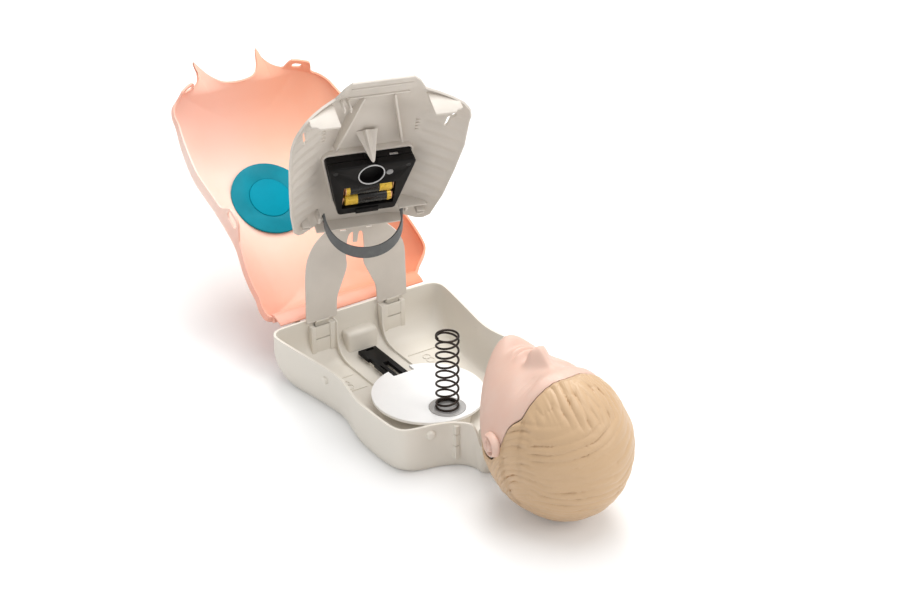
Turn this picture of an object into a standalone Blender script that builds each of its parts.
"""An opened CPR training torso: tray, hinged chest skin, chest plate, sensor box, spring and head.

Frame: +X to the right, +Y toward the waist, +Z up, the tray's underside at Z = 0, metres.
The waist wall's rim lies at Y = 0 and the head points along -Y.
"""

import math

import bmesh
import bpy
from mathutils import Matrix, Vector

# Tray, plan outlines as half loops from the waist to the neck end
# The hinge side of the tray is modelled at Y = 0, and the whole is moved by this at the end, so that the
# origin lies in the middle of the tray's foot.
FRAME_SHIFT_Y = 0.150
TRAY_RIM = (
    (0.0, 0.0015), (0.040, 0.0015), (0.075, 0.001), (0.094, -0.0005), (0.102, -0.007), (0.104, -0.018),
    (0.101, -0.042), (0.096, -0.075), (0.0915, -0.105), (0.0915, -0.125), (0.0955, -0.145), (0.099, -0.165),
    (0.099, -0.188), (0.098, -0.210), (0.096, -0.226), (0.090, -0.236), (0.078, -0.2405), (0.062, -0.2435),
    (0.046, -0.249), (0.035, -0.257), (0.029, -0.267), (0.028, -0.276), (0.020, -0.281), (0.0, -0.2815),
)
TRAY_FOOT = (
    (0.0, -0.030), (0.036, -0.030), (0.066, -0.031), (0.080, -0.034), (0.087, -0.040), (0.0895, -0.050),
    (0.086, -0.064), (0.082, -0.086), (0.0805, -0.106), (0.0815, -0.124), (0.086, -0.143), (0.090, -0.164),
    (0.091, -0.188), (0.090, -0.206), (0.085, -0.222), (0.076, -0.231), (0.066, -0.2355), (0.052, -0.239),
    (0.038, -0.245), (0.029, -0.252), (0.024, -0.262), (0.023, -0.271), (0.016, -0.276), (0.0, -0.277),
)
TRAY_HEIGHT = 0.052
TRAY_WALL = 0.0026
TRAY_FLOOR = 0.0028
TRAY_ROUND = 0.034
NECK_RIM_DROP = 0.020
SIDE_PEG = (-0.0915, -0.095, 0.038)
SHOULDER_PEG = (-0.064, -0.2432, 0.042)
PEG_RADIUS = 0.0042
POST_INNER_X = 0.0317
POST_OUTER_X = 0.0550
POST_TOP = TRAY_HEIGHT - 0.0065
RAIL_X = 0.0280
RAIL_THICK = 0.0018

# White spring plate with its seat and spring
PLATE_CENTRE_Y = -0.142
PLATE_RADIUS = 0.058
PLATE_TOP = 0.0165
PLATE_THICK = 0.003
SPRING_Y = -0.176
SEAT_RADIUS = 0.0185
SPRING_RADIUS = 0.0111
SPRING_WIRE = 0.00115
SPRING_TOP = 0.0995
SPRING_TURNS = 9.5

# Black slide on the floor
SLIDE_Y0 = -0.021
SLIDE_Y1 = -0.091
SLIDE_WIDTH = 0.0215
SLIDE_THICK = 0.0045
RUNNER_TOP = 0.0053

# Chest skin, drawn closed and then swung open about its rod
SKIN_AXIS = (0.0, 0.0205, TRAY_HEIGHT + 0.0008)
SKIN_OPEN = 143.6
SKIN_THICK = 0.0022
SKIN_OVERLAP = 0.0030
SKIN_DOME = 0.0570
SKIN_NECK_Y = -0.296
PAD_Y = -0.140
PAD_BACK = TRAY_HEIGHT + 0.0511
PAD_RADIUS = 0.040
PAD_DISC_RADIUS = 0.031

# Leg sheet
LEG_AXIS = (0.0, -0.0042, TRAY_HEIGHT - 0.0012)
LEG_BARREL = 0.0012
LEG_SHEET = 0.0018

# Chest plate, in its own frame: u across, v up the plate, n toward the viewer
PLATE_YAW = -15.0
PLATE_LEAN = 23.7
PLATE_POINT = (0.0, -0.006, 0.1476)
PLATE_HALF = (
    (0.014, 0.060), (0.018, 0.066), (0.026, 0.071), (0.060, 0.078), (0.100, 0.083), (0.140, 0.087),
    (0.165, 0.087), (0.185, 0.086), (0.196, 0.083), (0.2035, 0.077), (0.206, 0.070), (0.2085, 0.052),
    (0.2105, 0.044), (0.224, 0.037), (0.231, 0.030),
)
PLATE_SHEET = 0.0024
PLATE_CURL = 0.036
PLATE_NECK_CURL = 0.022
FLANGE_V = 0.2030
FLANGE_NEAR = 0.046
FLANGE_FAR = 0.074
FLANGE_FRONT = 0.0480
FLANGE_THICK = 0.0022
TOP_BARREL_V = 0.0085
TOP_BARREL_N = 0.0012
TOP_BARREL = 0.0016

# Sensor box on the chest plate, sized round its two cells and its ring
BOX_BACK = 0.0050
BOX_SPLIT = 0.0150
BOX_FRONT = 0.0240
BOX_LOW_V = 0.050
BOX_LOW_HALF = 0.0305
BOX_TOP_HALF = 0.0445
CELL_RADIUS = 0.00725
CELL_LENGTH = 0.0490
CELL_N = 0.0172
LATCH_ROOM = 0.00955
RING_INNER = 0.0127
RING_OUTER = RING_INNER + 0.0010
RING_GAP = 0.00205
BOX_RIM = 0.0008
CELL_LOW_V = BOX_LOW_V + LATCH_ROOM + CELL_RADIUS
CELL_V = (CELL_LOW_V + 2 * CELL_RADIUS + 0.0002, CELL_LOW_V)
RING_V = CELL_V[0] + CELL_RADIUS + RING_GAP + RING_OUTER
BOX_TOP_V = RING_V + RING_OUTER + BOX_RIM
SCREW_U = BOX_TOP_HALF - 0.0073
SCREW_V = BOX_TOP_V - 0.0075

# Strap bail
STRAP_U = 0.0405
STRAP_V = 0.0360
STRAP_N = 0.0140
STRAP_HEIGHT = 0.0120
STRAP_THICK = 0.0016

# Head, in its own frame: a across, b toward the crown, c toward the face
HEAD_CENTRE = (0.0, -0.353, 0.0790)
HEAD_PITCH = 8.5
HEAD_WALL = 0.0028
NECK_AXIS = (0.0, -0.290, 0.050)
SEAM = (
    (-90.0, 108.0), (-30.0, 104.0), (-8.0, 99.0), (0.0, 94.0), (3.0, 86.0), (6.0, 71.0), (10.0, 63.0),
    (14.0, 60.0), (19.0, 56.0), (26.0, 44.0), (38.0, 36.0), (65.0, 31.0), (90.0, 30.5),
)
HAIR_PROUD = 1.016


PART = bpy.data.collections.new("cpr_training_manikin")
TOOLS = bpy.data.collections.new("cutters")


def clear_scene():
    for obj in list(bpy.data.objects):
        bpy.data.objects.remove(obj, do_unlink=True)
    bpy.context.scene.collection.children.link(PART)
    bpy.context.scene.collection.children.link(TOOLS)
    TOOLS.hide_render = True


def material(name, colour, roughness, metallic=0.0, alpha=1.0):
    made = bpy.data.materials.new(name)
    made.use_nodes = True
    shader = made.node_tree.nodes["Principled BSDF"]
    shader.inputs["Base Color"].default_value = (colour[0], colour[1], colour[2], 1.0)
    shader.inputs["Roughness"].default_value = roughness
    shader.inputs["Metallic"].default_value = metallic
    shader.inputs["Alpha"].default_value = alpha
    return made


def new_object(name, points, faces, look=None, heart=None):
    """A mesh object. heart is a point inside an open surface, which its faces look away from."""
    mesh = bpy.data.meshes.new(name)
    mesh.from_pydata([tuple(point) for point in points], [], faces)
    work = bmesh.new()
    work.from_mesh(mesh)
    bmesh.ops.recalc_face_normals(work, faces=work.faces)
    work.faces.ensure_lookup_table()
    if heart is not None:
        look_out = sum(f.normal.dot(f.calc_center_median() - Vector(heart)) for f in work.faces)
        if look_out < 0:
            bmesh.ops.reverse_faces(work, faces=work.faces)
    work.to_mesh(mesh)
    work.free()
    obj = bpy.data.objects.new(name, mesh)
    PART.objects.link(obj)
    if look is not None:
        mesh.materials.append(look)
    return obj


def loft(name, rings, look=None, closed=False):
    """A skin over rings of equal length. The first and last ring are capped unless closed joins them."""
    count = len(rings[0])
    points = [point for ring in rings for point in ring]
    faces = []
    spans = len(rings) if closed else len(rings) - 1
    for row in range(spans):
        here = row * count
        there = ((row + 1) % len(rings)) * count
        for col in range(count):
            nxt = (col + 1) % count
            faces.append((here + col, here + nxt, there + nxt, there + col))
    if not closed:
        faces.append(tuple(range(count)))
        last = (len(rings) - 1) * count
        faces.append(tuple(last + col for col in range(count)))
    return new_object(name, points, faces, look)


def box(name, low, high, look=None, bevel=0.0, segments=2):
    x0, y0, z0 = low
    x1, y1, z1 = high
    points = [(x0, y0, z0), (x1, y0, z0), (x1, y1, z0), (x0, y1, z0)]
    points += [(x0, y0, z1), (x1, y0, z1), (x1, y1, z1), (x0, y1, z1)]
    faces = [(0, 3, 2, 1), (4, 5, 6, 7), (0, 1, 5, 4), (1, 2, 6, 5), (2, 3, 7, 6), (3, 0, 4, 7)]
    obj = new_object(name, points, faces, look)
    if bevel > 0.0:
        round_edges(obj, bevel, segments)
    return obj


def round_edges(obj, width, segments=2):
    edge = obj.modifiers.new("round", "BEVEL")
    edge.width = width
    edge.segments = segments
    edge.limit_method = "ANGLE"
    edge.angle_limit = math.radians(30)
    settle(obj)


def cylinder(name, radius, start, end, look=None, sides=28, end_radius=None):
    start = Vector(start)
    end = Vector(end)
    along = (end - start).normalized()
    side = along.orthogonal().normalized()
    other = along.cross(side)
    far_radius = radius if end_radius is None else end_radius
    rings = []
    for centre, size in ((start, radius), (end, far_radius)):
        ring = []
        for step in range(sides):
            turn = 2 * math.pi * step / sides
            ring.append(centre + side * (size * math.cos(turn)) + other * (size * math.sin(turn)))
        rings.append(ring)
    return loft(name, rings, look)


def settle(obj):
    """Replaces the object's mesh by what its modifiers make of it."""
    graph = bpy.context.evaluated_depsgraph_get()
    graph.update()
    made = bpy.data.meshes.new_from_object(obj.evaluated_get(graph))
    obj.modifiers.clear()
    work = bmesh.new()
    work.from_mesh(made)
    bmesh.ops.remove_doubles(work, verts=work.verts, dist=1e-6)
    bmesh.ops.triangulate(work, faces=work.faces, ngon_method="BEAUTY")
    work.to_mesh(made)
    work.free()
    obj.data = made


def split_faces(obj):
    work = bmesh.new()
    work.from_mesh(obj.data)
    bmesh.ops.triangulate(work, faces=work.faces, ngon_method="BEAUTY")
    work.to_mesh(obj.data)
    work.free()


def combine(obj, other, operation):
    split_faces(obj)
    split_faces(other)
    step = obj.modifiers.new("step", "BOOLEAN")
    step.object = other
    step.operation = operation
    step.solver = "EXACT"
    settle(obj)
    bpy.data.objects.remove(other, do_unlink=True)


def add(obj, *others):
    for other in others:
        combine(obj, other, "UNION")


def cut(obj, *others):
    for other in others:
        combine(obj, other, "DIFFERENCE")


def move(obj, matrix):
    obj.data.transform(matrix)
    obj.data.update()
    return obj


def set_origin(obj, point):
    obj.data.transform(Matrix.Translation(-Vector(point)))
    obj.location = point


def spline(points, count):
    """An open Catmull-Rom curve through the points, sampled evenly by control span."""
    made = []
    spans = len(points) - 1
    for step in range(count):
        where = spans * step / (count - 1)
        span = min(int(where), spans - 1)
        t = where - span
        p0 = Vector(points[max(span - 1, 0)])
        p1 = Vector(points[span])
        p2 = Vector(points[span + 1])
        p3 = Vector(points[min(span + 2, spans)])
        a = 2 * p1
        b = p2 - p0
        c = 2 * p0 - 5 * p1 + 4 * p2 - p3
        d = 3 * p1 - p0 - 3 * p2 + p3
        made.append(0.5 * (a + b * t + c * t * t + d * t * t * t))
    return made


def closed_loop(half, count):
    """The full plan outline, clockwise seen from above, from a half outline with x >= 0."""
    side = spline(half, count)
    mirrored = [Vector((-point.x, point.y)) for point in reversed(side[1:-1])]
    return side + mirrored


def inset(loop, amount):
    count = len(loop)
    made = []
    for index, point in enumerate(loop):
        along = loop[(index + 1) % count] - loop[index - 1]
        inward = Vector((along.y, -along.x)).normalized()
        made.append(point + inward * amount)
    return made


def smooth(low, high, value):
    t = min(max((value - low) / (high - low), 0.0), 1.0)
    return t * t * (3 - 2 * t)


def wall_share(height):
    """How far the wall has run in toward the foot outline at this height, 1 at the underside."""
    if height >= TRAY_ROUND:
        return 0.0
    return 1 - math.sqrt(max(0.0, 1 - (1 - height / TRAY_ROUND) ** 2))


def rim_height(point):
    return TRAY_HEIGHT - NECK_RIM_DROP * smooth(-0.262, -0.277, point.y)


def dome(centre, out):
    """A button that stands out of a wall."""
    side = out.orthogonal().normalized()
    other = out.cross(side)
    rings = []
    for size, reach in ((1.0, -0.0018), (1.0, 0.0024), (0.82, 0.0034), (0.40, 0.0039)):
        ring = []
        for step in range(12):
            turn = 2 * math.pi * (step + 0.3) / 12
            swing = side * math.cos(turn) + other * math.sin(turn)
            ring.append(centre + out * reach + swing * (PEG_RADIUS * size))
        rings.append(ring)
    return loft("peg", rings)


def wall_level(height, point):
    """The wall's height here, lower where the rim drops at the neck."""
    return height * (1 + (rim_height(point) / TRAY_HEIGHT - 1) * smooth(0.008, 0.040, height))


def build_tray(looks):
    rim = closed_loop(TRAY_RIM, 38)
    foot = closed_loop(TRAY_FOOT, 38)
    rings = []
    for height in (0.0, 0.0010, 0.0040, 0.0095, 0.0180, 0.0340):
        share = wall_share(height)
        ring = []
        for top, low in zip(rim, foot):
            spot = top.lerp(low, share)
            ring.append((spot.x, spot.y, wall_level(height, top)))
        rings.append(ring)
    outer = inset(rim, 0.0)
    lip = inset(rim, -0.0004)
    rings.append([(p.x, p.y, rim_height(q) - 0.0008) for p, q in zip(lip, rim)])
    rings.append([(p.x, p.y, rim_height(q)) for p, q in zip(outer, rim)])
    inner = inset(rim, TRAY_WALL)
    rings.append([(p.x, p.y, rim_height(q)) for p, q in zip(inner, rim)])
    for height in (0.0340, 0.0190, 0.0110, 0.0060, 0.0036):
        share = wall_share(height - TRAY_FLOOR)
        middle = [top.lerp(low, share) for top, low in zip(rim, foot)]
        ring = inset(middle, TRAY_WALL)
        levels = []
        for p, top in zip(ring, rim):
            levels.append((p.x, p.y, wall_level(height, top)))
        rings.append(levels)
    flat = inset([top.lerp(low, 1.0) for top, low in zip(rim, foot)], TRAY_WALL)
    rings.append([(p.x, p.y, TRAY_FLOOR) for p in flat])
    tray = loft("back_shell", rings, looks["tray"])

    for side in (-1, 1):
        for spot, tilt in ((SIDE_PEG, 0), (SHOULDER_PEG, 1)):
            centre = Vector((spot[0] * -side, spot[1], spot[2]))
            out = Vector((side, 0, 0)) if tilt == 0 else Vector((side * 0.25, -0.97, 0))
            add(tray, dome(centre, out))
        x = side * POST_INNER_X
        add(tray, post(x, 0.0038, -0.0085))
        x = side * POST_OUTER_X
        add(tray, post(x, 0.0026, -0.0080))
        x = side * (POST_INNER_X + POST_OUTER_X) / 2
        add(tray, box("pocket", (x - 0.0100, -0.0074, 0.0125), (x + 0.0100, -0.0056, POST_TOP - 0.001)))
        add(tray, rail(side * RAIL_X))
        add(tray, box("band", (side * 0.0385, -0.2550, 0.012), (side * 0.0432, -0.2485, 0.0495)))
        for y in (-0.050, -0.078):
            low = min(side * 0.034, side * 0.074)
            high = max(side * 0.034, side * 0.074)
            add(tray, box("step", (low, y - 0.0007, 0.0020), (high, y + 0.0007, 0.0040)))
    block = []
    for x, shrink in ((-0.0185, 0.0036), (-0.0176, 0.0014), (-0.0155, 0.0), (0.0155, 0.0),
                      (0.0176, 0.0014), (0.0185, 0.0036)):
        y = -0.0160 + shrink
        z = 0.0285 - shrink
        block.append([(x, 0.0002, z), (x, y + 0.0040, z), (x, y + 0.0012, z - 0.0012), (x, y, z - 0.0040),
                      (x, y, 0.0072), (x, -0.0085, 0.0125), (x, -0.0030, 0.0200)])
    add(tray, loft("block", block))
    ring = cylinder("ring", 0.024, (0, SPRING_Y, 0.0015), (0, SPRING_Y, PLATE_TOP - PLATE_THICK - 0.0003),
                    sides=24)
    hole = cylinder("hole", 0.020, (0, SPRING_Y, 0.0030), (0, SPRING_Y, 0.030), sides=24)
    cut(ring, hole)
    add(tray, ring)
    for x, y in ((-0.046, -0.132), (0.046, -0.132), (0.0, -0.106)):
        add(tray, cylinder("stand", 0.0040, (x, y, 0.0015), (x, y, PLATE_TOP - PLATE_THICK - 0.0003),
                           sides=10))
    for side in (-1, 1):
        x = side * 0.0070
        add(tray, box("runner", (x - 0.0014, -0.0900, 0.0015), (x + 0.0014, -0.0300, RUNNER_TOP)))
    add(tray, hinge_arm(-0.0634), hinge_arm(0.0634))
    return tray


def post(x, half, front):
    """An upright on the waist wall, its back and foot inside the wall."""
    line = [(0.0, POST_TOP), (front, POST_TOP), (front, 0.0135), (-0.0050, 0.0150), (-0.0005, 0.0280)]
    return loft("post", [[(x - half, y, z) for y, z in line], [(x + half, y, z) for y, z in line]])


def rail(x):
    """A thin web that runs down the waist wall and along the floor."""
    half = RAIL_THICK / 2
    line = [(-0.0010, 0.0470), (-0.0100, 0.0455), (-0.0105, 0.0240), (-0.0150, 0.0140), (-0.0250, 0.0068)]
    line += [(-0.0360, 0.0052), (-0.0860, 0.0052), (-0.0860, 0.0015), (-0.0260, 0.0015), (-0.0120, 0.0085)]
    line += [(-0.0040, 0.0200), (-0.0006, 0.0400)]
    rings = [[(x - half, y, z) for y, z in line], [(x + half, y, z) for y, z in line]]
    return loft("rail", rings)


def hinge_arm(x):
    """A lug behind the waist wall that carries the chest skin's rod."""
    half = 0.0032
    _, ay, az = SKIN_AXIS
    line = [(0.0, 0.0300), (0.0, 0.0420), (ay - 0.0060, az - 0.0050)]
    for step in range(9):
        turn = math.radians(200 - step * 27.5)
        line.append((ay + 0.0036 * math.cos(turn), az + 0.0036 * math.sin(turn)))
    line.append((ay - 0.0010, az - 0.0100))
    rings = [[(x - half, y, z) for y, z in line], [(x + half, y, z) for y, z in line]]
    arm = loft("arm", rings)
    cut(arm, cylinder("bore", 0.0016, (x - 0.01, ay, az), (x + 0.01, ay, az), sides=20))
    return arm


def build_floor_pieces(looks):
    top = PLATE_TOP
    low = PLATE_TOP - PLATE_THICK
    y = PLATE_CENTRE_Y
    disc = cylinder("spring_plate", PLATE_RADIUS, (0, y, low), (0, y, top), looks["white"], sides=56)
    notch = box("notch", (-0.0125, y + 0.046, low - 0.01), (0.0125, y + 0.080, top + 0.01))
    cut(disc, notch)
    well = cylinder("well", SEAT_RADIUS + 0.0004, (0, SPRING_Y, low + 0.0012), (0, SPRING_Y, top + 0.01),
                    sides=40)
    cut(disc, well)
    seat = cylinder("spring_seat", SEAT_RADIUS, (0, SPRING_Y, low + 0.0015), (0, SPRING_Y, top + 0.0004),
                    looks["seat"], sides=40)
    cut(seat, cylinder("pocket", SPRING_RADIUS + SPRING_WIRE + 0.0004, (0, SPRING_Y, low + 0.0027),
                       (0, SPRING_Y, top + 0.01), sides=40))
    build_spring(looks, low + 0.0031)
    build_slide(looks)


def build_spring(looks, foot):
    steps = int(SPRING_TURNS * 12)
    base = foot + SPRING_WIRE
    top = SPRING_TOP - SPRING_WIRE
    rings = []
    for step in range(steps + 1):
        share = step / steps
        turn = 2 * math.pi * SPRING_TURNS * share
        dead = 2.0 * SPRING_WIRE
        ends = 1.25 / SPRING_TURNS
        if share < ends:
            height = base + dead * share * SPRING_TURNS * smooth(0.0, ends, share) * 0.8
        elif share > 1 - ends:
            back = 1 - share
            height = top - dead * back * SPRING_TURNS * smooth(0.0, ends, back) * 0.8
        else:
            start = base + dead * ends * SPRING_TURNS * 0.8
            finish = top - dead * ends * SPRING_TURNS * 0.8
            height = start + (finish - start) * (share - ends) / (1 - 2 * ends)
        out = Vector((math.cos(turn), math.sin(turn), 0))
        centre = Vector((0, SPRING_Y, height)) + out * SPRING_RADIUS
        ring = []
        for side in range(6):
            angle = 2 * math.pi * side / 6
            rise = Vector((0, 0, SPRING_WIRE * math.sin(angle)))
            ring.append(centre + out * (SPRING_WIRE * math.cos(angle)) + rise)
        rings.append(ring)
    loft("compression_spring", rings, looks["spring"])


def build_slide(looks):
    z0 = RUNNER_TOP + 0.0003
    z1 = z0 + SLIDE_THICK
    half = SLIDE_WIDTH / 2
    slide = box("clicker_slide", (-half, SLIDE_Y1 + 0.0015, z0), (half, SLIDE_Y0 - 0.001, z1),
                looks["black"],
                bevel=0.0006)
    cut(slide, box("slot", (-0.0030, SLIDE_Y0 - 0.0065, z0 - 0.01), (0.0062, SLIDE_Y0 - 0.0035, z1 + 0.01)))
    cut(slide, box("fork", (-0.0020, SLIDE_Y1 - 0.01, z0 - 0.01), (0.0045, SLIDE_Y0 - 0.0360, z1 + 0.01)))
    cut(slide, box("fork", (-0.0080, SLIDE_Y1 + 0.0080, z0 - 0.01), (-0.0062, SLIDE_Y0 - 0.0400,
                                                                     z1 + 0.01)))
    cut(slide, box("side", (-0.0200, SLIDE_Y0 - 0.0330, z0 - 0.01), (-half + 0.0022, SLIDE_Y0 - 0.0220,
                                                                     z1 + 0.01)))
    add(slide, box("prong", (half - 0.0016, SLIDE_Y1 - 0.0080, z0 + 0.001), (half - 0.0002,
                                                                             SLIDE_Y1 + 0.004, z0 + 0.003)))
    return slide


SKIN_RIM = (
    (0.0, 0.0215), (0.045, 0.0215), (0.080, 0.0205), (0.0965, 0.0140), (0.1055, 0.0020), (0.1078, -0.016),
    (0.1048, -0.042), (0.0995, -0.075), (0.0950, -0.105), (0.0950, -0.125), (0.0990, -0.145), (0.1025,
                                                                                               -0.165),
    (0.1025, -0.188), (0.1015, -0.211), (0.0995, -0.2285), (0.0925, -0.2400), (0.0790, -0.2450),
    (0.0630, -0.2495), (0.0530, -0.2580), (0.0475, -0.2740), (0.0420, SKIN_NECK_Y), (0.0340, -0.2860),
    (0.0220, -0.2680), (0.0, -0.2620),
)
SKIN_LEVELS = (
    (0.0, 0.0), (-0.036, 0.14), (-0.042, 0.38), (0.020, 0.63), (0.130, 0.80), (0.320, 0.925), (0.600,
                                                                                               0.985),
    (0.840, 1.0),
)


def skin_height(y):
    rise = 0.70 + 0.30 * smooth(0.0, -0.120, y)
    fall = smooth(-0.285, -0.190, y)
    return rise * (0.05 + 0.95 * fall)


def skin_tab(point):
    side = math.exp(-(((point.y - SIDE_PEG[1]) / 0.017) ** 4)) if abs(point.x) > 0.08 else 0.0
    shoulder = math.exp(-(((abs(point.x) - 0.066) / 0.014) ** 4)) if point.y < -0.235 else 0.0
    return 0.0190 * side + 0.0165 * shoulder


def build_skin(looks):
    rim = closed_loop(SKIN_RIM, 38)
    base = TRAY_HEIGHT - SKIN_OVERLAP
    points = []
    for level, (run, rise) in enumerate(SKIN_LEVELS):
        for point in rim:
            spine = Vector((0.0, min(max(point.y, -0.225), -0.045)))
            spot = point.lerp(spine, run)
            height = base + (SKIN_DOME + 0.004) * skin_height(spot.y) * rise
            if level == 0:
                height -= skin_tab(point)
            points.append((spot.x, spot.y, height))
    count = len(rim)
    faces = []
    for row in range(len(SKIN_LEVELS) - 1):
        for col in range(count):
            nxt = (col + 1) % count
            faces.append((row * count + col, row * count + nxt, (row + 1) * count + nxt,
                          (row + 1) * count + col))
    last = (len(SKIN_LEVELS) - 1) * count
    faces.append(tuple(last + col for col in range(count)))
    skin = new_object("chest_skin", points, faces, looks["skin"], heart=(0, -0.130, 0.040))
    shell = skin.modifiers.new("shell", "SOLIDIFY")
    shell.thickness = SKIN_THICK
    shell.offset = -1.0
    shell.use_even_offset = False
    settle(skin)
    for side in (-1, 1):
        x, y, z = SIDE_PEG
        ring = []
        for step in range(20):
            turn = 2 * math.pi * (step + 0.5) / 20
            stretch = 0.0050 if math.cos(turn) > 0 else -0.0050
            ring.append((y + stretch + 0.0050 * math.cos(turn), z + 0.001 + 0.0050 * math.sin(turn)))
        cut(skin, loft("hole", [[(side * 0.080, a, b) for a, b in ring], [(side * 0.125, a, b) for a,
                                                                          b in ring]]))
        x, y, z = SHOULDER_PEG
        cut(skin, cylinder("hole", 0.0050, (side * -x * 0.97, y + 0.02, z), (side * -x * 1.04, y - 0.025,
                                                                             z)))
    swing = Matrix.Translation(SKIN_AXIS) @ Matrix.Rotation(math.radians(-SKIN_OPEN), 4, "X")
    swing = swing @ Matrix.Translation(-Vector(SKIN_AXIS))
    move(skin, swing)
    _, ay, az = SKIN_AXIS
    rings = []
    for x in (-0.0880, 0.0880):
        outer = [(x, 0.0028, az + 0.0010), (x, 0.0060, az + 0.0032), (x, 0.0110, az + 0.0050)]
        outer += [(x, 0.0170, az + 0.0060), (x, 0.0240, az + 0.0040)]
        under = [(x, 0.0240, az + 0.0002), (x, 0.0170, az + 0.0032), (x, 0.0110, az + 0.0028)]
        under += [(x, 0.0066, az + 0.0012), (x, 0.0028, az - 0.0004)]
        rings.append(outer + under)
    add(skin, loft("roll", rings))
    add(skin, cylinder("barrel", 0.0042, (-0.088, ay, az), (0.088, ay, az), sides=24))
    for side in (-1, 1):
        x = side * 0.0634
        cut(skin, box("gap", (x - 0.0037, ay - 0.0075, az - 0.020), (x + 0.0037, ay + 0.0062, az + 0.0044)))
    cut(skin, cylinder("bore", 0.0018, (-0.12, ay, az), (0.12, ay, az), sides=20))
    cylinder("skin_hinge_rod", 0.0015, (-0.086, ay, az), (0.086, ay, az), looks["steel"], sides=20)
    pad = cylinder("pad_ring", PAD_RADIUS, (0, PAD_Y, PAD_BACK), (0, PAD_Y, PAD_BACK + 0.0028),
                   looks["pad_rim"], sides=40)
    cut(pad, cylinder("recess", PAD_DISC_RADIUS + 0.0004, (0, PAD_Y, 0.09), (0, PAD_Y, PAD_BACK + 0.0014),
                      sides=40))
    disc = cylinder("pad_disc", PAD_DISC_RADIUS, (0, PAD_Y, PAD_BACK - 0.0008),
                    (0, PAD_Y, PAD_BACK + 0.0011), looks["teal"], sides=40)
    move(pad, swing)
    move(disc, swing)
    set_origin(skin, SKIN_AXIS)


def plate_matrix():
    yaw = Matrix.Rotation(math.radians(PLATE_YAW), 3, "Z")
    lean = math.radians(PLATE_LEAN)
    u = yaw @ Vector((1, 0, 0))
    v = yaw @ Vector((0, -math.sin(lean), math.cos(lean)))
    n = yaw @ Vector((0, -math.cos(lean), -math.sin(lean)))
    rows = Matrix((u, v, n)).transposed().to_4x4()
    return Matrix.Translation(PLATE_POINT) @ rows


def snap_clip(name, centre, along, opening, length, bore, outer, wrap, look=None):
    """A C-shaped clip round a barrel. along is the barrel's direction, opening the way the gap faces."""
    along = Vector(along).normalized()
    opening = Vector(opening).normalized()
    side = along.cross(opening)
    half = math.radians(wrap) / 2
    line = []
    steps = 9
    for step in range(steps + 1):
        turn = math.pi - half + 2 * half * step / steps
        line.append((outer, turn))
    for step in range(steps + 1):
        turn = math.pi + half - 2 * half * step / steps
        line.append((bore, turn))
    rings = []
    for end in (-0.5, 0.5):
        ring = []
        for size, turn in line:
            out = opening * math.cos(turn) + side * math.sin(turn)
            ring.append(Vector(centre) + along * (length * end) + out * size)
        rings.append(ring)
    return loft(name, rings, look)


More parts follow.
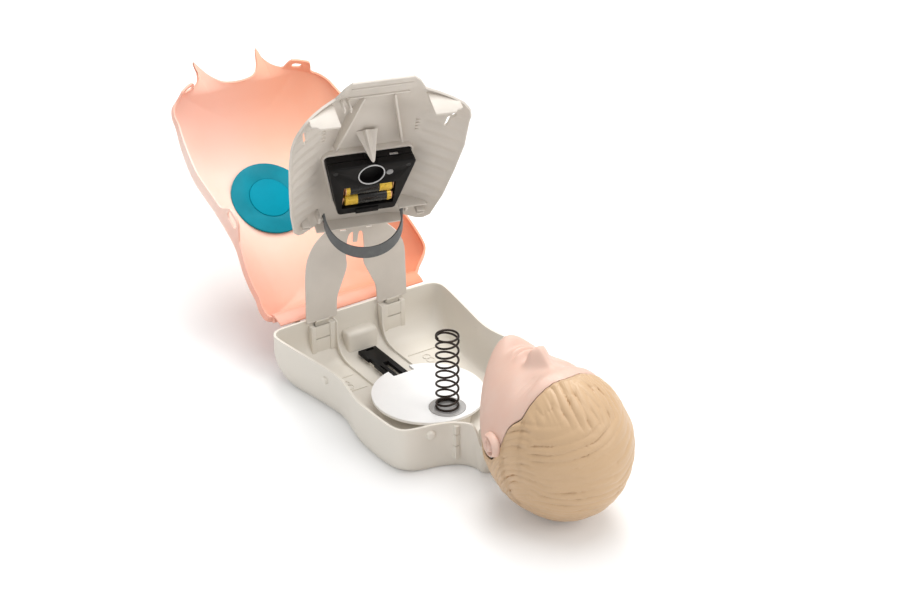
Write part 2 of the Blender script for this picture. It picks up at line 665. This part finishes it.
def build_legs(looks):
    _, ay, az = LEG_AXIS
    for side, word in ((-1, "left"), (1, "right")):
        x = side * (POST_INNER_X + POST_OUTER_X) / 2
        clip = snap_clip("leg_clip_" + word, (x, ay, az), (1, 0, 0), (0, 0, 1), 0.0150, 0.0014, 0.0026, 215,
                         looks["tray"])
        add(clip, box("tongue", (x - 0.0075, ay - 0.0010, 0.0290), (x + 0.0075, ay + 0.0010, az - 0.0018)))
    top = plate_matrix() @ Vector((0, TOP_BARREL_V, TOP_BARREL_N))
    up = (plate_matrix().to_3x3() @ Vector((0, 1, 0))).normalized()
    across = (plate_matrix().to_3x3() @ Vector((1, 0, 0))).normalized()
    start = Vector(LEG_AXIS)
    widths = ((0.0, 0.0615), (0.25, 0.0610), (0.45, 0.0590), (0.62, 0.0540), (0.76, 0.0460), (0.90, 0.0335),
              (1.0, 0.0225))
    rows = 14
    columns = 12
    front = []
    back = []
    for row in range(rows + 1):
        t = row / rows
        reach = (top - start).length
        p1 = start + Vector((0, 0, 1)) * reach * 0.36
        p2 = top - up * reach * 0.30
        spot = start * (1 - t) ** 3 + p1 * (3 * t * (1 - t) ** 2) + p2 * (3 * t * t * (1 - t)) + top * t ** 3
        twist = smooth(0.25, 1.0, t)
        wide = Vector((1, 0, 0)).lerp(across, twist).normalized()
        ahead = (p1 - start) * (1 - t) ** 2 + (p2 - p1) * (2 * t * (1 - t)) + (top - p2) * t * t
        ahead.normalize()
        face = wide.cross(ahead).normalized()
        half = widths[-1][1]
        for (t0, w0), (t1, w1) in zip(widths, widths[1:]):
            if t0 <= t <= t1:
                half = w0 + (w1 - w0) * smooth(t0, t1, t)
        for col in range(columns + 1):
            where = spot + wide * (half * (2 * col / columns - 1))
            front.append(where + face * (LEG_SHEET / 2))
            back.append(where - face * (LEG_SHEET / 2))
    sheet = sheet_object("leg_sheet", front, back, rows, columns, looks["plate"])
    gap = [(-0.0245, 0.030), (-0.0245, 0.066), (-0.0190, 0.082), (-0.0125, 0.096), (-0.0100, 0.104),
           (-0.0105, 0.118), (-0.0090, 0.132), (-0.0070, 0.1400), (-0.0030, 0.1415), (-0.0022, 0.1290),
           (0.0022, 0.1290), (0.0030, 0.1415), (0.0070, 0.1400), (0.0090, 0.132), (0.0105,
                                                                                   0.118), (0.0100, 0.104),
           (0.0125, 0.096), (0.0190, 0.082), (0.0245, 0.066), (0.0245, 0.030)]
    cut(sheet, loft("gap", [[(x, -0.06, z) for x, z in gap], [(x, 0.06, z) for x, z in gap]]))
    for side in (-1, 1):
        x = side * 0.0432
        add(sheet, cylinder("knuckle", LEG_BARREL, (x - 0.0170, ay, az), (x + 0.0170, ay, az), sides=20))
    a = plate_matrix() @ Vector((-0.021, TOP_BARREL_V, TOP_BARREL_N))
    b = plate_matrix() @ Vector((0.021, TOP_BARREL_V, TOP_BARREL_N))
    add(sheet, cylinder("barrel", TOP_BARREL, a, b, sides=20))
    for side in (-1, 1):
        room = box("room", (-0.0034, -0.0100, -0.0040), (0.0034, -0.0014, 0.0040))
        place = plate_matrix() @ Matrix.Translation((side * 0.014, TOP_BARREL_V, TOP_BARREL_N))
        cut(sheet, move(room, place))
    set_origin(sheet, LEG_AXIS)


def sheet_object(name, front, back, rows, columns, look):
    """A closed slab from two grids of (rows + 1) by (columns + 1) points."""
    wide = columns + 1
    total = (rows + 1) * wide
    faces = []
    for row in range(rows):
        for col in range(columns):
            a = row * wide + col
            faces.append((a, a + 1, a + wide + 1, a + wide))
            faces.append((total + a, total + a + wide, total + a + wide + 1, total + a + 1))
    for col in range(columns):
        faces.append((col, total + col, total + col + 1, col + 1))
        a = rows * wide + col
        faces.append((a, a + 1, total + a + 1, total + a))
    for row in range(rows):
        a = row * wide
        faces.append((a, a + wide, total + a + wide, total + a))
        a = row * wide + columns
        faces.append((a, total + a, total + a + wide, a + wide))
    return new_object(name, list(front) + list(back), faces, look)


def plate_level(u, v):
    """The height of the chest plate's inner face, toward the viewer."""
    side = max(0.0, abs(u) - 0.030) / 0.058
    rise = PLATE_CURL * side ** 1.7
    rise += PLATE_NECK_CURL * smooth(0.160, 0.236, v)
    return rise


def plate_half(v):
    for (v0, w0), (v1, w1) in zip(PLATE_HALF, PLATE_HALF[1:]):
        if v <= v1:
            return w0 + (w1 - w0) * (v - v0) / (v1 - v0)
    return PLATE_HALF[-1][1]


def box_outline(grow, notch):
    low = BOX_LOW_V - grow
    top = BOX_TOP_V + grow
    slope = (BOX_TOP_HALF - BOX_LOW_HALF) / (BOX_TOP_V - BOX_LOW_V)
    low_half = BOX_LOW_HALF + grow - slope * grow
    top_half = BOX_TOP_HALF + grow
    r = 0.0040 + grow
    points = [(-low_half + r, low), (low_half - r, low), (low_half - 0.3 * r, low + 0.3 * r),
              (low_half, low + r)]
    points += [(top_half - 0.1 * r, top - 2.2 * r), (top_half, top - 1.2 * r), (top_half - 0.3 * r,
                                                                                top - 0.35 * r),
               (top_half - r, top)]
    if notch:
        points += [(0.0055, top), (0.0, top - 0.0050), (-0.0055, top)]
    points += [(-top_half + r, top), (-top_half + 0.3 * r, top - 0.35 * r), (-top_half, top - 1.2 * r),
               (-top_half + 0.1 * r, top - 2.2 * r), (-low_half, low + r), (-low_half + 0.3 * r,
                                                                            low + 0.3 * r)]
    return points


def prism(name, outline, low, high, look=None):
    return loft(name, [[(u, v, low) for u, v in outline], [(u, v, high) for u, v in outline]], look)


def build_plate(looks):
    rows = 24
    columns = 16
    v0 = PLATE_HALF[0][0]
    v1 = PLATE_HALF[-1][0]
    front = []
    back = []
    for row in range(rows + 1):
        v = v0 + (v1 - v0) * row / rows
        half = plate_half(v)
        for col in range(columns + 1):
            u = half * (2 * col / columns - 1)
            level = plate_level(u, v)
            front.append((u, v, level))
            back.append((u, v, level - PLATE_SHEET))
    plate = sheet_object("chest_plate", front, back, rows, columns, looks["plate"])
    frame_wall = prism("frame", box_outline(0.0024, False), -0.0008, 0.0120)
    cut(frame_wall, prism("inside", box_outline(0.0004, False), 0.0044, 0.0300))
    add(plate, frame_wall)
    add(plate, box("ledge", (-0.046, 0.0130, -0.0010), (0.046, 0.0150, 0.0130)))
    boss = boss_rings()
    add(plate, boss)
    for side in (-1, 1):
        add(plate, strut(side))
        slot = box("slot", (-0.0013, -0.012, -0.06), (0.0013, 0.012, 0.06))
        turn = Matrix.Translation((side * 0.0725, 0.1680,
                                   0.030)) @ Matrix.Rotation(math.radians(side * -12), 4, "Z")
        cut(plate, move(slot, turn))
        add(plate, flange(side))
        u = side * (STRAP_U + 0.0052)
        add(plate, box("lug", (u - 0.0016, STRAP_V - 0.0040, -0.0010),
                       (u + 0.0016, STRAP_V + 0.0040, STRAP_N + 0.0030), bevel=0.0006))
        add(plate, cylinder("stub", 0.0015, (side * (STRAP_U - 0.0020), STRAP_V, STRAP_N),
                            (u, STRAP_V, STRAP_N), sides=18))
        clip = snap_clip("clip", (side * 0.014, TOP_BARREL_V, TOP_BARREL_N), (1, 0, 0), (0, -1, 0), 0.0056,
                         TOP_BARREL + 0.0002, 0.0036, 225)
        add(plate, clip)
        add(plate, box("web", (side * 0.014 - 0.0022, 0.0106, -0.0012), (side * 0.014 + 0.0022, 0.0143,
                                                                         0.0024)))
        for v in (0.030, 0.034):
            add(plate, box("tooth", (side * 0.060 - 0.0040, v, 0.004), (side * 0.060 + 0.0040, v + 0.0014,
                                                                        0.0210)))
    for v in (0.206, 0.222):
        add(plate, box("edge", (-0.030, v, 0.010), (0.030, v + 0.0016, 0.0215)))
    move(plate, plate_matrix())
    set_origin(plate, plate_matrix() @ Vector((0, TOP_BARREL_V, TOP_BARREL_N)))
    return plate


def flange(side):
    """A flat tab that stands up from the sheet beside the neck."""
    rings = []
    for v in (FLANGE_V, FLANGE_V + FLANGE_THICK):
        ring = []
        for step in range(5):
            u = FLANGE_NEAR + (FLANGE_FAR - FLANGE_NEAR) * step / 4
            ring.append(Vector((side * u, v, plate_level(u, v) - PLATE_SHEET / 2)))
        ring.append(Vector((side * FLANGE_FAR, v, FLANGE_FRONT)))
        ring.append(Vector((side * FLANGE_NEAR, v, FLANGE_FRONT)))
        rings.append(ring)
    return loft("flange", rings)


def strut(side):
    """A diagonal web from the box frame to the neck end."""
    a = Vector((side * 0.0340, BOX_TOP_V + 0.0075, 0.0))
    b = Vector((side * 0.0150, 0.2060, 0.0))
    along = (b - a).normalized()
    across = Vector((along.y, -along.x, 0)) * 0.0010
    low = -0.0006
    rings = []
    for spot, top in ((a, 0.0075), (b, 0.0180)):
        rings.append([spot - across + Vector((0, 0, low)), spot + across + Vector((0, 0, low)),
                      spot + across + Vector((0, 0, top)), spot - across + Vector((0, 0, top))])
    return loft("strut", rings)


def boss_rings():
    """The finned cone that points into the box's notch."""
    rings = []
    foot = Vector((-0.002, BOX_TOP_V + 0.0230, -0.0008))
    tip = Vector((0.0, BOX_TOP_V + 0.0035, BOX_FRONT))
    axis = (tip - foot).normalized()
    side = Vector((1, 0, 0))
    other = axis.cross(side).normalized()
    for share, size in ((0.0, 0.0115), (0.35, 0.0080), (0.75, 0.0042), (0.95, 0.0020), (1.0, 0.0010)):
        ring = []
        for step in range(24):
            turn = 2 * math.pi * step / 24
            fin = 1 - 0.26 * (0.5 + 0.5 * math.cos(6 * turn)) * (1 - share * 0.7)
            out = side * math.cos(turn) + other * math.sin(turn)
            ring.append(foot.lerp(tip, share) + out * (size * fin))
        rings.append(ring)
    return loft("boss", rings)


def build_box(looks):
    place = plate_matrix()
    case = prism("sensor_case", box_outline(0.0, True), BOX_BACK, BOX_SPLIT, looks["black"])
    cut(case, prism("inside", box_outline(-0.0020, True), BOX_BACK + 0.0018, BOX_SPLIT + 0.01))
    for side in (-1, 1):
        add(case, cylinder("post", 0.0032, (side * SCREW_U, SCREW_V, BOX_BACK + 0.001),
                           (side * SCREW_U, SCREW_V, 0.0149), sides=18))
    cover = prism("sensor_cover", box_outline(0.0, True), BOX_SPLIT + 0.0003, BOX_FRONT, looks["black"])
    round_edges(cover, 0.0012, 1)
    cut(cover, prism("inside", box_outline(-0.0022, True), BOX_SPLIT - 0.01, BOX_FRONT - 0.0022))
    bay_low = CELL_V[1] - CELL_RADIUS - 0.0006
    bay_top = CELL_V[0] + CELL_RADIUS + 0.0006
    half = CELL_LENGTH / 2 + 0.0022
    floor = CELL_N - CELL_RADIUS - 0.0003
    tub = box("tub", (-half - 0.0016, bay_low - 0.0016, floor - 0.0014), (half + 0.0016, bay_top + 0.0016,
                                                                          BOX_FRONT - 0.001))
    add(cover, tub)
    cut(cover, box("bay", (-half, bay_low, floor), (half, bay_top, BOX_FRONT + 0.01)))
    cup = cylinder("cup", RING_INNER + 0.0012, (0, RING_V, BOX_FRONT - 0.0085),
                   (0, RING_V, BOX_FRONT - 0.001), sides=28)
    add(cover, cup)
    cut(cover, cylinder("well", RING_INNER, (0, RING_V, BOX_FRONT - 0.0070),
                        (0, RING_V, BOX_FRONT + 0.01), sides=28))
    cut(cover, cylinder("groove", RING_OUTER + 0.0003, (0, RING_V, BOX_FRONT - 0.0009),
                        (0, RING_V, BOX_FRONT + 0.01), sides=28))
    cut(cover, cylinder("lamp", 0.0038, (0.0185, RING_V + 0.0005, BOX_FRONT - 0.0010),
                        (0.0185, RING_V + 0.0005, BOX_FRONT + 0.01), sides=24))
    for side in (-1, 1):
        cut(cover, cylinder("sink", 0.0026, (side * SCREW_U, SCREW_V, BOX_FRONT - 0.0016),
                            (side * SCREW_U, SCREW_V, BOX_FRONT + 0.01), sides=20))
        cut(cover, cylinder("hole", 0.0011, (side * SCREW_U, SCREW_V, BOX_FRONT - 0.01),
                            (side * SCREW_U, SCREW_V, BOX_FRONT + 0.01), sides=14))
        cut(case, cylinder("hole", 0.0011, (side * SCREW_U, SCREW_V, BOX_SPLIT - 0.006),
                           (side * SCREW_U, SCREW_V, BOX_FRONT + 0.01), sides=14))
        screw = cylinder("screw_" + ("left" if side < 0 else "right"), 0.0023,
                         (side * SCREW_U, SCREW_V, BOX_FRONT - 0.0014),
                         (side * SCREW_U, SCREW_V, BOX_FRONT - 0.0002), looks["screw"], sides=20)
        add(screw, cylinder("shank", 0.0009, (side * SCREW_U, SCREW_V, BOX_SPLIT - 0.0045),
                            (side * SCREW_U, SCREW_V, BOX_FRONT - 0.0010), sides=12))
        cut(screw, box("cross", (side * SCREW_U - 0.0014, SCREW_V - 0.0003, BOX_FRONT - 0.0008),
                       (side * SCREW_U + 0.0014, SCREW_V + 0.0003, BOX_FRONT + 0.002)))
        cut(screw, box("cross", (side * SCREW_U - 0.0003, SCREW_V - 0.0014, BOX_FRONT - 0.0008),
                       (side * SCREW_U + 0.0003, SCREW_V + 0.0014, BOX_FRONT + 0.002)))
        move(screw, place)
    ring = cylinder("target_ring", RING_OUTER, (0, RING_V, BOX_FRONT - 0.0006),
                    (0, RING_V, BOX_FRONT + 0.0003), looks["grey"], sides=28)
    cut(ring, cylinder("hole", RING_INNER - 0.0001, (0, RING_V, BOX_FRONT - 0.01),
                       (0, RING_V, BOX_FRONT + 0.01), sides=28))
    lamp = cylinder("status_lamp", 0.0035, (0.0185, RING_V + 0.0005, BOX_FRONT - 0.0007),
                    (0.0185, RING_V + 0.0005, BOX_FRONT + 0.0002), looks["grey"], sides=24)
    latch = box("battery_latch", (-0.0120, bay_low - 0.0085, BOX_FRONT + 0.0003),
                (0.0120, bay_low - 0.0022, BOX_FRONT + 0.0016), looks["black"], bevel=0.0005)
    board = box("circuit_board", (-0.0300, RING_V - 0.0120, BOX_BACK + 0.0021),
                (0.0300, RING_V + 0.0075, BOX_BACK + 0.0037), looks["board"])
    port = box("usb_port", (0.0200, BOX_TOP_V - 0.0075, BOX_BACK + 0.0062),
               (0.0285, BOX_TOP_V - 0.0003, BOX_BACK + 0.0090), looks["steel"])
    cut(case, box("port_hole", (0.0197, BOX_TOP_V - 0.0080, BOX_BACK + 0.0059), (0.0288, BOX_TOP_V + 0.01,
                                                                                 BOX_BACK + 0.0093)))
    for piece in (case, cover, ring, lamp, latch, board, port):
        move(piece, place)
    for index, v in enumerate(CELL_V):
        flip = 1 if index == 0 else -1
        cell = cylinder("battery_%d" % (index + 1), CELL_RADIUS, (-flip * CELL_LENGTH / 2, v, CELL_N),
                        (flip * (CELL_LENGTH / 2 - 0.0012), v, CELL_N), looks["cell"], sides=28)
        add(cell, cylinder("nub", 0.0026, (flip * (CELL_LENGTH / 2 - 0.003), v, CELL_N),
                           (flip * CELL_LENGTH / 2, v, CELL_N), sides=18))
        move(cell, place)
        for side in (-1, 1):
            x = side * (CELL_LENGTH / 2 + 0.0011)
            spot = box("contact_%d%s" % (index + 1, "a" if side < 0 else "b"),
                       (x - 0.0006, v - 0.0045, CELL_N - 0.0050),
                       (x + 0.0006, v + 0.0045, CELL_N + 0.0040), looks["copper"])
            move(spot, place)


def build_strap(looks):
    lean = math.radians(PLATE_LEAN)
    upright = Vector((0, math.cos(lean), -math.sin(lean))) * (STRAP_HEIGHT / 2)
    steps = 22
    spots = []
    for step in range(steps + 1):
        turn = math.pi * step / steps
        drop = math.sin(turn) ** 0.85
        u = STRAP_U * math.cos(turn)
        spots.append(Vector((u, STRAP_V - 0.0175 * drop, STRAP_N + 0.0372 * drop)))
    rings = []
    for index, spot in enumerate(spots):
        along = spots[min(index + 1, steps)] - spots[max(index - 1, 0)]
        out = along.cross(upright).normalized() * (STRAP_THICK / 2)
        rings.append([spot - upright - out, spot - upright + out, spot + upright + out,
                      spot + upright - out])
    strap = loft("strap", rings, looks["strap"])
    for side in (-1, 1):
        add(strap, cylinder("eye", 0.0042, (side * (STRAP_U - 0.0012), STRAP_V, STRAP_N),
                            (side * (STRAP_U + 0.0012), STRAP_V, STRAP_N), sides=24))
    cut(strap, cylinder("bore", 0.0018, (-0.06, STRAP_V, STRAP_N), (-0.030, STRAP_V, STRAP_N), sides=20))
    cut(strap, cylinder("bore", 0.0018, (0.030, STRAP_V, STRAP_N), (0.06, STRAP_V, STRAP_N), sides=20))
    move(strap, plate_matrix())
    set_origin(strap, plate_matrix() @ Vector((0, STRAP_V, STRAP_N)))


def head_matrix():
    pitch = math.radians(HEAD_PITCH)
    a = Vector((-1, 0, 0))
    b = Vector((0, -math.cos(pitch), math.sin(pitch)))
    c = Vector((0, math.sin(pitch), math.cos(pitch)))
    return Matrix.Translation(HEAD_CENTRE) @ Matrix((a, b, c)).transposed().to_4x4()


def hump(a, b, at_a, at_b, wide, tall):
    return math.exp(-(((a - at_a) / wide) ** 2) - (((b - at_b) / tall) ** 2))


def head_point(polar, around, features=True):
    """A point of the head's outer surface. polar is the angle from the face's direction."""
    da = math.sin(polar) * math.cos(around)
    share = math.sin(polar) * math.sin(around)
    dc = math.cos(polar)
    round_part = math.sqrt(max(0.0, 1 - share * share))
    down = max(0.0, -share)
    up = max(0.0, share)
    jaw = smooth(0.15, 1.0, down)
    b = 0.0806 * share if share > 0 else -0.0774 * (1 - (1 + share) ** 1.4)
    a = 0.0625 * (1 - 0.22 * jaw) * da
    reach = 0.0665 + 0.0090 * up + 0.0300 * jaw * jaw if dc > 0 else 0.0780 - 0.0300 * jaw
    c = 0.0220 * jaw - 0.0015 * up + reach * dc
    if dc > 0:
        a *= 1 - 0.07 * dc / max(round_part, 0.001)
    if features and dc > 0:
        c += 0.0030 * hump(a, b, 0, -0.0400, 0.0190, 0.0085)
        c += 0.0045 * hump(a, b, 0, -0.0640, 0.0160, 0.0100)
        for side in (-1, 1):
            c -= 0.0060 * hump(a, b, side * 0.027, -0.0010, 0.0125, 0.0095)
            c += 0.0028 * hump(a, b, side * 0.027, 0.0140, 0.0180, 0.0070)
            c += 0.0022 * hump(a, b, side * 0.035, -0.0240, 0.0150, 0.0140)
    return Vector((a, b, c))


def seam(around, lead=0.0):
    """The polar angle at which the mask meets the hair. lead is in degrees towards the crown."""
    side = math.degrees(math.asin(max(-1.0, min(1.0, math.sin(around))))) + lead
    for (low, start), (high, finish) in zip(SEAM, SEAM[1:]):
        if side <= high:
            return math.radians(start + (finish - start) * (side - low) / (high - low))
    return math.radians(SEAM[-1][1])


def build_head(looks):
    place = head_matrix()
    half_turn = (-90, -66, -44, -26, -12, -3, 1, 4, 7, 11, 15, 20, 27, 36, 50, 68)
    turns = [math.radians(t) for t in half_turn] + [math.radians(180 - t) for t in (90,) + half_turn[:0:-1]]
    columns = len(turns)
    gap = 0.0120
    mask_rows = 12
    points = [head_point(0.0, 0.0)]
    for row in range(1, mask_rows + 1):
        for around in turns:
            points.append(head_point((seam(around, 0.9) - gap) * row / mask_rows, around))
    mask = cap_surface("face_skin", points, mask_rows, columns, looks["face"])
    hair_rows = 9
    points = [head_point(math.pi, 0.0) * HAIR_PROUD]
    for row in range(1, hair_rows + 1):
        for around in turns:
            polar = math.pi - (math.pi - seam(around)) * row / hair_rows
            points.append(head_point(polar, around, False) * HAIR_PROUD)
    hair = cap_surface("head_shell", points, hair_rows, columns, looks["hair"])
    for piece in (mask, hair):
        shell = piece.modifiers.new("shell", "SOLIDIFY")
        shell.thickness = HEAD_WALL
        shell.offset = -1.0
        shell.use_even_offset = False
        settle(piece)
    for side in (-1, 1):
        add(mask, ear_lobe(side))
    add(mask, nose())
    cut(mask, box("mouth", (-0.0150, -0.0425, 0.040), (0.0150, -0.0402, 0.100)))
    for piece in (mask, hair):
        throat = cylinder("throat", 0.036, (0, -0.120, -0.030), (0, -0.050, -0.030), sides=40)
        cut(piece, throat)
    core = box("head_core", (-0.024, -0.038, -0.012), (0.024, 0.040, -0.004), looks["core"], bevel=0.001)
    neck = place.inverted() @ Vector(NECK_AXIS)
    tongue = box("tongue", (-0.0120, neck.y - 0.0065, neck.z - 0.0065), (0.0120, -0.030, neck.z + 0.0100),
                 bevel=0.0015)
    add(core, tongue)
    add(core, box("web", (-0.0120, -0.048, neck.z), (0.0120, -0.030, -0.006)))
    cut(core, cylinder("bore", 0.0032, (-0.05, neck.y, neck.z), (0.05, neck.y, neck.z), sides=28))
    back = -head_point(math.pi, 0.0).length * HAIR_PROUD + HEAD_WALL + 0.0013
    add(core, cylinder("foot", 0.0090, (0, 0, back), (0, 0, -0.008), sides=24))
    add(core, cylinder("airway", 0.0080, (0, -0.032, -0.008), (0, -0.040, 0.0560), sides=24))
    for piece in (mask, hair, core):
        move(piece, place)
        set_origin(piece, NECK_AXIS)
    cylinder("neck_pin", 0.0030, (-0.0215, NECK_AXIS[1], NECK_AXIS[2]),
             (0.0215, NECK_AXIS[1], NECK_AXIS[2]), looks["steel"], sides=28)
    bracket = None
    line = [(-0.2500, 0.0032), (-0.2660, 0.0032), (-0.2730, 0.0360), (-0.2850, 0.0395), (-0.2970, 0.0440),
            (-0.2970, 0.0565), (-0.2820, 0.0575), (-0.2560, 0.0380)]
    for side in (-1, 1):
        x = side * 0.0150
        ear = loft("cheek", [[(x - 0.0024, y, z) for y, z in line], [(x + 0.0024, y, z) for y, z in line]])
        if bracket is None:
            bracket = ear
            bracket.name = "neck_bracket"
        else:
            add(bracket, ear)
    add(bracket, box("base", (-0.0150, -0.2655, 0.0032), (0.0150, -0.2510, 0.0070)))
    add(bracket, box("brace", (-0.0150, -0.2620, 0.0060), (0.0150, -0.2600, 0.0300)))
    cut(bracket, cylinder("bore", 0.0032, (-0.05, NECK_AXIS[1], NECK_AXIS[2]), (0.05, NECK_AXIS[1],
                                                                                NECK_AXIS[2]), sides=28))
    bracket.data.materials.clear()
    bracket.data.materials.append(looks["tray"])


def cap_surface(name, points, rows, columns, look):
    """An open surface of rings round a first pole point."""
    faces = []
    for col in range(columns):
        faces.append((0, 1 + col, 1 + (col + 1) % columns))
    for row in range(rows - 1):
        here = 1 + row * columns
        there = here + columns
        for col in range(columns):
            nxt = (col + 1) % columns
            faces.append((here + col, here + nxt, there + nxt, there + col))
    return new_object(name, points, faces, look, heart=(0, 0, 0))


def nose():
    """A wedge from the bridge to the tip and the nostrils, its back inside the mask's wall."""
    rings = []
    for b, half, rise in ((0.0080, 0.0035, 0.0004), (-0.0040, 0.0050, 0.0050), (-0.0120, 0.0078, 0.0115),
                          (-0.0180, 0.0100, 0.0160), (-0.0225, 0.0098, 0.0120), (-0.0255, 0.0070, 0.0020)):
        floor = 0.0634
        top = 0.0660
        rings.append([(-half, b, floor), (-half, b, top), (-half * 0.62, b, top + rise * 0.62),
                      (-half * 0.22, b, top + rise), (half * 0.22, b, top + rise),
                      (half * 0.62, b, top + rise * 0.62), (half, b, top), (half, b, floor)])
    return loft("nose", rings)


def ear_lobe(side):
    centre = Vector((side * 0.0605, -0.0120, 0.0060))
    rings = []
    for row in range(7):
        polar = math.pi * (0.06 + 0.88 * row / 6)
        ring = []
        for col in range(14):
            turn = 2 * math.pi * col / 14
            x = 0.0062 * math.cos(polar)
            y = 0.0155 * math.sin(polar) * math.cos(turn)
            z = 0.0110 * math.sin(polar) * math.sin(turn)
            ring.append((x, y, z))
        rings.append(ring)
    ear = loft("ear", rings)
    tilt = Matrix.Rotation(math.radians(side * -14), 4, "Z")
    return move(ear, Matrix.Translation(centre) @ tilt)


def main():
    clear_scene()
    looks = {
        "tray": material("tray_plastic", (0.75, 0.70, 0.62), 0.45),
        "white": material("white_plastic", (0.93, 0.93, 0.93), 0.4),
        "seat": material("seat_plastic", (0.45, 0.44, 0.43), 0.35),
        "spring": material("spring_steel", (0.05, 0.035, 0.03), 0.35, 0.8),
        "black": material("black_plastic", (0.02, 0.02, 0.02), 0.45),
        "skin": material("skin_vinyl", (0.93, 0.55, 0.38), 0.55),
        "pad_rim": material("pad_rim_plastic", (0.55, 0.80, 0.84), 0.35),
        "teal": material("teal_plastic", (0.01, 0.36, 0.50), 0.4),
        "plate": material("rib_plastic", (0.60, 0.57, 0.51), 0.5),
        "grey": material("grey_print", (0.60, 0.60, 0.60), 0.5),
        "screw": material("screw_steel", (0.05, 0.05, 0.05), 0.4, 0.7),
        "board": material("board", (0.02, 0.16, 0.07), 0.5),
        "steel": material("bright_steel", (0.60, 0.60, 0.62), 0.3, 0.9),
        "cell": material("cell_wrap", (0.06, 0.05, 0.03), 0.35),
        "copper": material("contact_metal", (0.80, 0.50, 0.30), 0.3, 0.9),
        "strap": material("strap_rubber", (0.22, 0.22, 0.22), 0.55),
        "face": material("face_vinyl", (0.85, 0.60, 0.52), 0.5),
        "hair": material("hair_plastic", (0.62, 0.44, 0.27), 0.45),
        "core": material("core_plastic", (0.70, 0.70, 0.68), 0.5),
    }
    build_tray(looks)
    build_floor_pieces(looks)
    build_skin(looks)
    build_legs(looks)
    build_plate(looks)
    build_box(looks)
    build_strap(looks)
    build_head(looks)
    for piece in PART.objects:
        piece.location.y += FRAME_SHIFT_Y


main()
